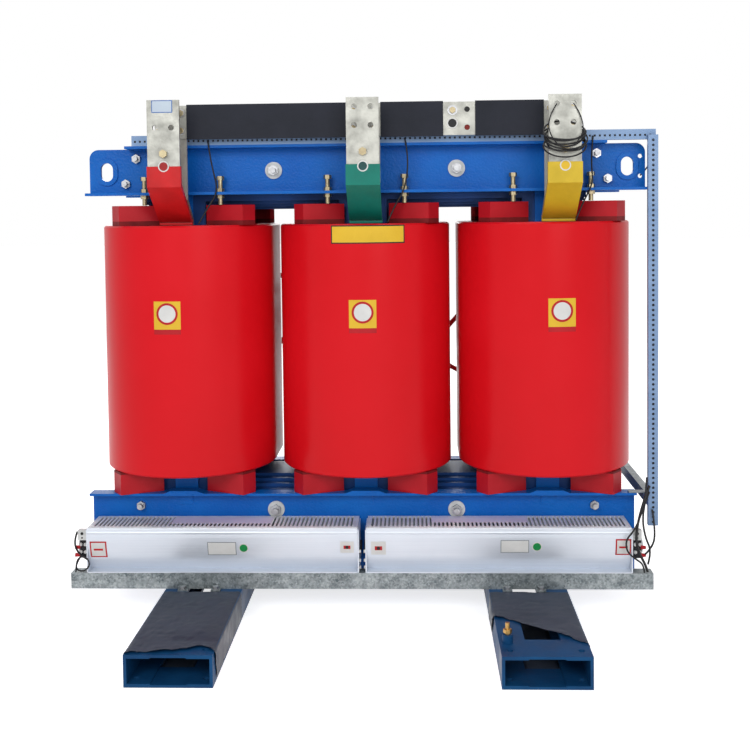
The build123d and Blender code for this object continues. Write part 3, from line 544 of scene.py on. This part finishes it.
def addRound(bm, x, y, z, radius, depth, facing=-1, sides=28):
    spot = Matrix.Translation((x, y + facing * depth / 2, z)) @ Matrix.Rotation(math.pi / 2, 4, "X")
    bmesh.ops.create_cone(bm, cap_ends=True, segments=sides, radius1=radius, radius2=radius, depth=depth, matrix=spot)


def addHexHead(bm, x, y, z, radius, depth, facing=-1):
    addRound(bm, x, y, z, radius, depth, facing, 6)


def softenRims(bm, width):
    sharp = [e for e in bm.edges if len(e.link_faces) == 2 and e.calc_face_angle(0) > 0.9]
    bmesh.ops.bevel(bm, geom=sharp, offset=width, segments=2, profile=0.5, affect="EDGES", material=-1)


busJoint = {"dx": 0.027, "z": (1.236, 1.28), "radius": 0.0085, "depth": 0.006, "washer": 0.0105, "washerDepth": 0.0016}
terminalBolt = {"x": 0.2316, "z": 1.278, "radius": 0.0085, "depth": 0.006, "washer": 0.0125, "washerDepth": 0.0018}


def addBusBolt(heads, washers, form, x, z):
    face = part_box("neutral_bus")[0][1]
    addRound(washers, x, face, z, form["washer"], form["washerDepth"])
    addHexHead(heads, x, face - form["washerDepth"], z, form["radius"], form["depth"])


def addBusBolts():
    heads, washers = bmesh.new(), bmesh.new()
    for key in barTags:
        for side in (-1, 1):
            for z in busJoint["z"]:
                addBusBolt(heads, washers, busJoint, middleX("lv_bar_" + key) + side * busJoint["dx"], z)
    addBusBolt(heads, washers, terminalBolt, terminalBolt["x"], terminalBolt["z"])
    softenRims(heads, 0.0007)
    keepPiece(washers, "busJointWashers", zincSteel)
    keepPiece(heads, "busJointBolts", yellowZinc)


addBusBolts()


holePlugs = {"x": 0.268, "radius": 0.0069, "depth": 0.003, "sunk": 0.0005, "z": {"upper": 1.280, "lower": 1.235}}


def addHolePlugs():
    h = holePlugs
    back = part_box("neutral_bus")[1][1]
    for name, material in (("upper", inkBlack), ("lower", plugRed)):
        bm = bmesh.new()
        addRound(bm, h["x"], back - h["sunk"], h["z"][name], h["radius"], h["depth"])
        keepPiece(bm, f"terminalPlug_{name}", material)


addHolePlugs()

studTip = {"length": 0.011, "threads": 6, "crest": 0.0008, "core": 0.86, "sides": 20}
clampStack = {"face": 0.178, "washer": 0.005, "nut": 0.0137, "yokeRadius": 0.0078, "endRadius": 0.0068}
yokeBolts = ((-0.2305, 1.136), (0.2435, 1.136), (-0.237, 0.246), (0.237, 0.246))
endBolts = ((-0.5895, 1.17), (0.6025, 1.17), (-0.6175, 1.105), (0.6305, 1.105), (-0.595, 0.257), (0.595, 0.257))


def addStudTip(bm, x, z, reach, radius):
    for side in (-1, 1):
        addRound(bm, x, side * reach, z, radius * studTip["core"], studTip["length"], side, studTip["sides"])
        for index in range(studTip["threads"]):
            y = side * (reach + studTip["length"] * (index + 0.3) / studTip["threads"])
            addRound(bm, x, y, z, radius, studTip["crest"], side, studTip["sides"])


def addStudTips():  # threaded ends that stand out of the nuts on both sides
    bolts = bmesh.new()
    reach = clampStack["face"] + clampStack["nut"]
    for x, z in yokeBolts:
        addStudTip(bolts, x, z, reach + clampStack["washer"], clampStack["yokeRadius"])
    for x, z in endBolts:
        addStudTip(bolts, x, z, reach, clampStack["endRadius"])
    keepPiece(bolts, "studThreads", zincSteel)


addStudTips()
print("fasteners made")


# fan motors and their terminals

fanEnds = (("front", -1, -0.708), ("front", 1, 0.670), ("rear", 1, 0.708), ("rear", -1, -0.670))
fanAxis = {"y": 0.228, "z": 0.166, "plate": 0.0036}
motor = {"stackHalf": 0.027, "stackLow": 0.008, "stackHigh": 0.028, "length": 0.034, "bell": 0.022, "bellGap": 0.0008,
         "bellSides": 40, "nut": 0.0048, "nutDepth": 0.0055, "nutSpread": (0.006076, 0.0098)}


def addAlongX(bm, place, radius, endRadius, depth, sides):
    spot = Matrix.Translation(place) @ Matrix.Rotation(math.pi / 2, 4, "Y")
    bmesh.ops.create_cone(bm, cap_ends=True, segments=sides, radius1=radius, radius2=endRadius, depth=depth, matrix=spot)


def addMotors():
    stacks, bells, nuts = bmesh.new(), bmesh.new(), bmesh.new()
    for face, hand, end in fanEnds:
        side = -1 if face == "front" else 1
        y, z = side * fanAxis["y"], fanAxis["z"]
        start = end + hand * fanAxis["plate"]
        middle = start + hand * (motor["stackLow"] + motor["stackHigh"]) / 2
        size = 2 * motor["stackHalf"]
        spot = Matrix.Translation((middle, y, z))
        made = bmesh.ops.create_cube(stacks, size=1, matrix=spot)
        bmesh.ops.scale(stacks, vec=(motor["stackHigh"] - motor["stackLow"], size, size), verts=made["verts"],
                        space=spot.inverted())
        addAlongX(bells, (start + hand * motor["length"] / 2, y, z), motor["bell"], motor["bell"],
                  motor["length"] - motor["bellGap"], motor["bellSides"])
        spreadX, spreadZ = motor["nutSpread"]
        for dx in (-spreadX, spreadX):
            for dz in (-spreadZ, spreadZ):
                addHexHead(nuts, middle + dx, y + side * motor["stackHalf"], z + dz, motor["nut"], motor["nutDepth"], side)
    softenRims(stacks, 0.003)
    softenRims(bells, 0.003)
    softenRims(nuts, 0.001)
    stackPiece = keepPiece(stacks, "motorStacks", motorPaint)
    keepPiece(bells, "motorBells", zincSteel)
    keepPiece(nuts, "motorNuts", stickerWhite)
    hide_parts("fan_motors")


addMotors()

endCaps = {"radius": 0.0052, "endRadius": 0.00416, "length": 0.0125, "reach": 0.0345, "y": 0.262, "z": (0.150, 0.170),
           "sides": 20}
terminalScrews = {"reach": 0.0146, "y": 0.287, "depth": 0.0006, "spots": ((0.213, 0.0038), (0.202, 0.0022))}


def addTerminalParts():
    caps, slots = bmesh.new(), bmesh.new()
    for face, hand, end in fanEnds:
        side = -1 if face == "front" else 1
        for z in endCaps["z"]:
            addAlongX(caps, (end + hand * endCaps["reach"], side * endCaps["y"], z), endCaps["radius"],
                      endCaps["endRadius"], endCaps["length"], endCaps["sides"])
        for z, radius in terminalScrews["spots"]:
            addRound(slots, end + hand * terminalScrews["reach"], side * terminalScrews["y"], z, radius,
                     terminalScrews["depth"], side)
    softenRims(caps, 0.0008)
    keepPiece(caps, "terminalCaps", stickerRed)
    keepPiece(slots, "terminalScrews", inkBlack)


addTerminalParts()
print("motors made")


# guard ribs: a rounded rib over each slat

guard = {"pitch": 0.0106, "edge": 0.008, "rib": 0.003, "rise": 0.0011, "sunk": 0.0003, "sides": 10, "front": 0.2755,
         "back": 0.1937}
fanSpans = ((-0.708, -0.018), (0.005, 0.67))


def addGuardRibs():
    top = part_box("fan_guards")[1][2]
    bm = bmesh.new()
    depth, middleY = guard["front"] - guard["back"], (guard["front"] + guard["back"]) / 2
    squeeze = Matrix.Diagonal((1, 1, guard["rise"] / guard["rib"], 1)) @ Matrix.Rotation(math.pi / 2, 4, "X")
    for side in (-1, 1):
        for low, high in fanSpans:
            count = int((high - low - 2 * guard["edge"]) // guard["pitch"])
            first = (low + high - count * guard["pitch"]) / 2
            for index in range(count + 1):
                x = -side * (first + index * guard["pitch"])
                spot = Matrix.Translation((x, side * middleY, top - guard["sunk"]))
                bmesh.ops.create_cone(bm, cap_ends=True, segments=guard["sides"], radius1=guard["rib"],
                                      radius2=guard["rib"], depth=depth, matrix=spot @ squeeze)
    keepPiece(bm, "guardRibs", guardSheet)


addGuardRibs()


# what the perforated channels hold, and the sleeves' lower ends

def addBar(bm, low, high, rounding):
    spot = Matrix.Translation([(a + b) / 2 for a, b in zip(low, high)])
    made = bmesh.ops.create_cube(bm, size=1, matrix=spot @ Matrix.Diagonal((*[b - a for a, b in zip(low, high)], 1)))
    edges = list({e for v in made["verts"] for e in v.link_edges})
    bmesh.ops.bevel(bm, geom=edges, offset=rounding, segments=3, profile=0.5, affect="EDGES", material=-1)


wireBundles = {"rail": ((-0.588, -0.2225, 1.2052), (0.742, -0.2135, 1.2228)),
               "post": ((0.7245, -0.2365, 0.221), (0.7445, -0.2275, 1.2)), "rounding": 0.003}


def addWireBundles():
    bm = bmesh.new()
    for channel in ("rail", "post"):
        addBar(bm, *wireBundles[channel], wireBundles["rounding"])
    keepPiece(bm, "wireBundles", cableSkin)


addWireBundles()

sleeveFoot = {"half": 0.0428, "y": (-0.2158, -0.2022), "z": (0.9966, 1.0125), "rounding": 0.002}


def addSleeveFeet():
    for key, material in (("left", redSleeve), ("middle", greenSleeve), ("right", yellowSleeve)):
        middle = middleX("lv_bar_" + key)
        bm = bmesh.new()
        addBar(bm, (middle - sleeveFoot["half"], sleeveFoot["y"][0], sleeveFoot["z"][0]),
               (middle + sleeveFoot["half"], sleeveFoot["y"][1], sleeveFoot["z"][1]), sleeveFoot["rounding"])
        keepPiece(bm, f"sleeveFoot_{key}", material)


addSleeveFeet()

innerEnds = {"x": (-0.0147, 0.0017), "screws": ((-0.281, 0.166), (-0.279, 0.142), (-0.272, 0.122)), "radius": 0.0045,
             "length": 0.0045, "bearing": 0.013, "bearingLength": 0.005}


def addInnerEnds():  # bearing covers and screws on the plates in the gap between the two fans
    covers, screws = bmesh.new(), bmesh.new()
    for side in (-1, 1):
        for x, hand in zip(innerEnds["x"], (1, -1)):
            x, hand = -side * x, -side * hand
            addAlongX(covers, (x + hand * innerEnds["bearingLength"] / 2, side * fanAxis["y"], fanAxis["z"]),
                      innerEnds["bearing"], innerEnds["bearing"], innerEnds["bearingLength"], 32)
            for y, z in innerEnds["screws"]:
                addAlongX(screws, (x + hand * innerEnds["length"] / 2, -side * y, z), innerEnds["radius"],
                          innerEnds["radius"], innerEnds["length"], 6)
    softenRims(covers, 0.001)
    softenRims(screws, 0.0006)
    keepPiece(covers, "bearingCovers", motorPaint)
    keepPiece(screws, "innerScrews", stickerWhite)


addInnerEnds()
print("ribs, bundles and fan ends made")


# cords: every line repeats its route as control points

def addCord(name, points, diameter, swaps=()):
    curve = bpy.data.curves.new(name, "CURVE")
    curve.dimensions = "3D"
    curve.bevel_depth = diameter / 2
    curve.bevel_resolution = 4
    curve.use_fill_caps = True
    curve.resolution_u = 8
    spline = curve.splines.new("NURBS")
    spline.points.add(len(points) - 1)
    for point, place in zip(spline.points, points):
        point.co = (*place, 1)
    spline.order_u = 3
    spline.use_endpoint_u = True
    curve.materials.append(cableSkin)
    cordObject = bpy.data.objects.new(name, curve)
    bpy.context.scene.collection.objects.link(cordObject)
    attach(cordObject, "frame")
    if swaps:
        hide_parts(*swaps)


wires = {
    "sensorWireLeft": (((-0.392, -0.229, 1.212), (-0.384, -0.231, 1.15), (-0.366, -0.231, 1.085), (-0.395, -0.231, 1.04),
                        (-0.418, -0.238, 0.9995)), 0.004, 0.227, "limp", "hanging"),
    "sensorWireMiddle": (((0.111, -0.229, 1.212), (0.121, -0.231, 1.165), (0.112, -0.231, 1.085), (0.082, -0.231, 1.038),
                          (0.066, -0.238, 0.9995)), 0.004, 0.224, "limp", "hanging"),
    "sensorWireRight": (((0.586, -0.229, 1.212), (0.58, -0.231, 1.155), (0.586, -0.231, 1.09), (0.56, -0.231, 1.045),
                         (0.541, -0.238, 0.9995)), 0.004, 0.222, "limp", "hanging"),
    "fanWireRightOuter": (((0.717, -0.245, 0.345), (0.713, -0.249, 0.29), (0.701, -0.266, 0.242), (0.706, -0.281, 0.2),
                           (0.722, -0.277, 0.165), (0.716, -0.264, 0.128)), 0.005, 0.227, "limp", "hanging"),
    "fanWireRightInner": (((0.731, -0.243, 0.262), (0.735, -0.262, 0.214), (0.727, -0.271, 0.172), (0.703, -0.261, 0.146)),
                          0.005, 0.129, "limp", "hanging"),
    "fanWireLeft": (((-0.737, -0.279, 0.216), (-0.744, -0.281, 0.196), (-0.744, -0.274, 0.17), (-0.732, -0.265, 0.148),
                     (-0.716, -0.26, 0.136)), 0.005, 0.094, "limp", "hanging"),
}
for index, (name, (points, diameter, length, stiffness, lay)) in enumerate(wires.items()):
    addCord(name, points, diameter, ("wires",) if index == 0 else ())

hank = {"turns": 8, "perTurn": 14, "x": 0.501, "y": -0.336, "z": 1.2, "wide": 0.05, "deep": 0.024, "tilt": 0.024,
        "spread": 0.0052, "back": -0.3285, "endShift": 0.012, "diameter": 0.004, "length": 2.083}


def hankPoints():
    h = hank
    count = h["turns"] * h["perTurn"]
    points = []
    for index in range(count + 1):
        turn = index / h["perTurn"]
        angle = 2 * math.pi * turn + math.pi / 2
        loose = 0.0035 * math.sin(2.1 * turn) + 0.0022 * math.sin(5.3 * turn)
        lift = (turn - h["turns"] / 2) * h["spread"]
        x = h["x"] + (h["wide"] + loose) * math.cos(angle)
        y = h["y"] + (h["deep"] + 0.6 * loose) * math.sin(angle)
        z = h["z"] + lift + h["tilt"] * math.sin(angle) * (1 + 0.25 * math.sin(3.7 * turn))
        points.append((x, y, z))
    points[0] = (h["x"] - h["endShift"], h["back"], points[0][2])
    points[-1] = (h["x"] + h["endShift"], h["back"], points[-1][2])
    return points


addCord("cableHank", hankPoints(), hank["diameter"], ("cable_hank",))

hangingLoop = ((0.521, -0.3412, 1.283), (0.531, -0.344, 1.268), (0.542, -0.346, 1.24), (0.543, -0.352, 1.214),
               (0.524, -0.3655, 1.184), (0.5, -0.3675, 1.174), (0.476, -0.3655, 1.184), (0.461, -0.352, 1.214),
               (0.46, -0.346, 1.24), (0.471, -0.344, 1.268), (0.481, -0.3412, 1.283))
addCord("hangingLoop", hangingLoop, 0.0028)

extraCords = {
    "railCable": (((0.737, -0.216, 1.2045), (0.741, -0.2, 1.18), (0.741, -0.182, 1.15), (0.733, -0.164, 1.128),
                   (0.716, -0.1695, 1.112)), 0.004, 0.115, "limp", "hanging"),
    "fanCableFront": (((0.7245, -0.2405, 0.322), (0.711, -0.25, 0.293), (0.694, -0.27, 0.255), (0.682, -0.292, 0.224),
                       (0.679, -0.299, 0.192), (0.69, -0.299, 0.16), (0.703, -0.292, 0.137), (0.711, -0.281, 0.1155)),
                      0.0065, 0.237, "limp", "hanging"),
    "fanCableLoop": (((0.7245, -0.2395, 0.306), (0.704, -0.262, 0.268), (0.676, -0.301, 0.226), (0.652, -0.305, 0.203),
                      (0.655, -0.305, 0.172), (0.676, -0.3075, 0.155), (0.697, -0.303, 0.14), (0.702, -0.287, 0.1145)),
                     0.0045, 0.254, "limp", "hanging"),
    "fanCableLeft": (((-0.736, -0.2575, 0.145), (-0.7445, -0.27, 0.13), (-0.738, -0.289, 0.1195), (-0.716, -0.2975, 0.1185),
                      (-0.7, -0.2985, 0.134), (-0.706, -0.2985, 0.154), (-0.724, -0.2975, 0.158), (-0.737, -0.2945, 0.143),
                      (-0.7405, -0.287, 0.1144)), 0.004, 0.168, "limp", "hanging"),
}
for name, (points, diameter, length, stiffness, lay) in extraCords.items():
    addCord(name, points, diameter)
print("cords made")


# camera, floor and light

lens = {"pixels": 1077.08, "sensor": 36.0, "frame": 750, "place": (0.13468, -2.97470, 1.03279),
        "yaw": -2.135, "pitch": 2.539, "roll": -0.648, "axisHeight": 256.83}


def addCamera():
    data = bpy.data.cameras.new("viewCamera")
    data.sensor_width = lens["sensor"]
    data.lens = lens["pixels"] / lens["frame"] * lens["sensor"]
    data.shift_y = (lens["axisHeight"] - lens["frame"] / 2) / lens["frame"]
    data.clip_end = 100
    camera = bpy.data.objects.new("viewCamera", data)
    turn = Matrix.Rotation(-math.radians(lens["yaw"]), 4, "Z")
    tilt = Matrix.Rotation(math.pi / 2 - math.radians(lens["pitch"]), 4, "X")
    roll = Matrix.Rotation(math.radians(lens["roll"]), 4, "Z")
    camera.matrix_world = Matrix.Translation(lens["place"]) @ turn @ tilt @ roll
    bpy.context.scene.collection.objects.link(camera)
    bpy.context.scene.camera = camera


lamps = {
    "keyLamp": ((-1.5, -4.6, 2.9), 2.2, 92),
    "fillLamp": ((1.7, -4.6, 2.2), 2.2, 62),
    "topLamp": ((0.0, 0.4, 4.2), 3.0, 52),
    "backLamp": ((-0.8, 4.6, 2.8), 2.4, 85),
}


def addLamp(name, place, size, power):
    data = bpy.data.lights.new(name, "AREA")
    data.size, data.energy = size, power
    lamp = bpy.data.objects.new(name, data)
    lamp.location = place
    lamp.rotation_euler = (Vector((0, 0, 0.6)) - Vector(place)).to_track_quat("-Z", "Y").to_euler()
    bpy.context.scene.collection.objects.link(lamp)


def cameraMask(tree):  # 1 for what the camera, a reflection or glass sees straight
    rays = tree.nodes.new("ShaderNodeLightPath")
    first = tree.nodes.new("ShaderNodeMath")
    second = tree.nodes.new("ShaderNodeMath")
    first.operation = second.operation = "MAXIMUM"
    tree.links.new(rays.outputs["Is Camera Ray"], first.inputs[0])
    tree.links.new(rays.outputs["Is Glossy Ray"], first.inputs[1])
    tree.links.new(first.outputs["Value"], second.inputs[0])
    tree.links.new(rays.outputs["Is Transmission Ray"], second.inputs[1])
    return second.outputs["Value"]


def addWorld(ambient=0.3):
    world = bpy.data.worlds.new("studio")
    bpy.context.scene.world = world
    world.use_nodes = True
    tree = world.node_tree
    tree.nodes.clear()
    soft, white = tree.nodes.new("ShaderNodeBackground"), tree.nodes.new("ShaderNodeBackground")
    soft.inputs["Color"].default_value = (0.95, 0.97, 1, 1)
    soft.inputs["Strength"].default_value = ambient
    white.inputs["Color"].default_value = (1, 1, 1, 1)
    mix, out = tree.nodes.new("ShaderNodeMixShader"), tree.nodes.new("ShaderNodeOutputWorld")
    tree.links.new(cameraMask(tree), mix.inputs["Fac"])
    tree.links.new(soft.outputs["Background"], mix.inputs[1])
    tree.links.new(white.outputs["Background"], mix.inputs[2])
    tree.links.new(mix.outputs["Shader"], out.inputs["Surface"])


def addFloor():
    bm = bmesh.new()
    bmesh.ops.create_grid(bm, x_segments=1, y_segments=1, size=30)
    bmesh.ops.translate(bm, vec=(0, 0, -0.001), verts=bm.verts)
    mesh = bpy.data.meshes.new("floor")
    bm.to_mesh(mesh)
    bm.free()
    floor = bpy.data.objects.new("floor", mesh)
    bpy.context.scene.collection.objects.link(floor)
    mat = bpy.data.materials.new("paleFloor")
    mat.use_nodes = True
    tree = mat.node_tree
    shader = tree.nodes["Principled BSDF"]
    shader.inputs["Base Color"].default_value = (0.9, 0.9, 0.9, 1)
    shader.inputs["Roughness"].default_value = 0.9
    shader.inputs["Emission Color"].default_value = (1, 1, 1, 1)
    glow = tree.nodes.new("ShaderNodeMath")
    glow.operation = "MULTIPLY"
    glow.inputs[1].default_value = 0.75
    tree.links.new(cameraMask(tree), glow.inputs[0])
    tree.links.new(glow.outputs["Value"], shader.inputs["Emission Strength"])
    mesh.materials.append(mat)


addCamera()
for name, (place, size, power) in lamps.items():
    addLamp(name, place, size, power)
addWorld()
addFloor()
bpy.context.scene.view_settings.view_transform = "Standard"
print("camera, lamps and floor set")
